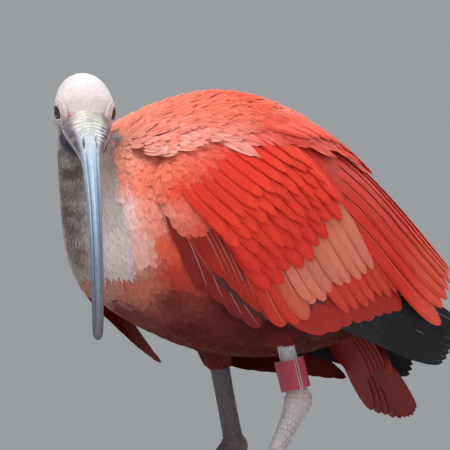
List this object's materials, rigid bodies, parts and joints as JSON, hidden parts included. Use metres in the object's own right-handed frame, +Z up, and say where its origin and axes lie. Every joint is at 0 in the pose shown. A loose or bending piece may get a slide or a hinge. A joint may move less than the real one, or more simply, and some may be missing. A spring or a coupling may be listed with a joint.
{
  "type": "scarlet ibis",
  "caption": "Life-size still model of a standing scarlet ibis with folded wings, turned head, long down-curved bill and a split leg band",
  "frame": {"origin": "on the floor under the middle of the bird's bounding box", "axes": "the bird's tail points to +Y and its breast to -Y, its left side is at +X, +Z is up"},
  "size_m": [0.1517, 0.3056, 0.2619],
  "materials": {
    "wing_feathers": "soft feather sheen, scarlet with black outer flight feathers",
    "body_feathers": "soft feathers, pale pink breast to scarlet back",
    "neck_feathers": "short grey and pinkish feathers",
    "tail_feathers": "deep scarlet feathers",
    "face_skin": "pale grey down and dusky red bare skin",
    "bill": "horn, slate blue with a brown tip, half gloss",
    "eye": "wet dark brown",
    "leg_skin": "scaly greyish pink skin",
    "claw": "dark horn",
    "band": "worn wine-red plastic"
  },
  "bodies": {
    "root": {"bill_lower": "bill", "bill_upper": "bill", "claw_hind_left": "claw", "claw_hind_right": "claw", "claw_inner_left": "claw", "claw_inner_right": "claw", "claw_middle_left": "claw", "claw_middle_right": "claw", "claw_outer_left": "claw", "claw_outer_right": "claw", "eye_left": "eye", "eye_right": "eye", "foot_left": "leg_skin", "foot_right": "leg_skin", "head": "face_skin", "leg_band": "band", "neck_lower": "neck_feathers", "neck_upper": "neck_feathers", "tail": "tail_feathers", "tarsus_left": "leg_skin", "tarsus_right": "leg_skin", "thigh_left": "body_feathers", "thigh_right": "body_feathers", "tibia_left": "leg_skin", "tibia_right": "leg_skin", "toe_hind_left": "leg_skin", "toe_hind_right": "leg_skin", "toe_inner_left": "leg_skin", "toe_inner_right": "leg_skin", "toe_middle_left": "leg_skin", "toe_middle_right": "leg_skin", "toe_outer_left": "leg_skin", "toe_outer_right": "leg_skin", "torso": "body_feathers", "wing_left": "wing_feathers", "wing_right": "wing_feathers"}
  },
  "joints": []
}
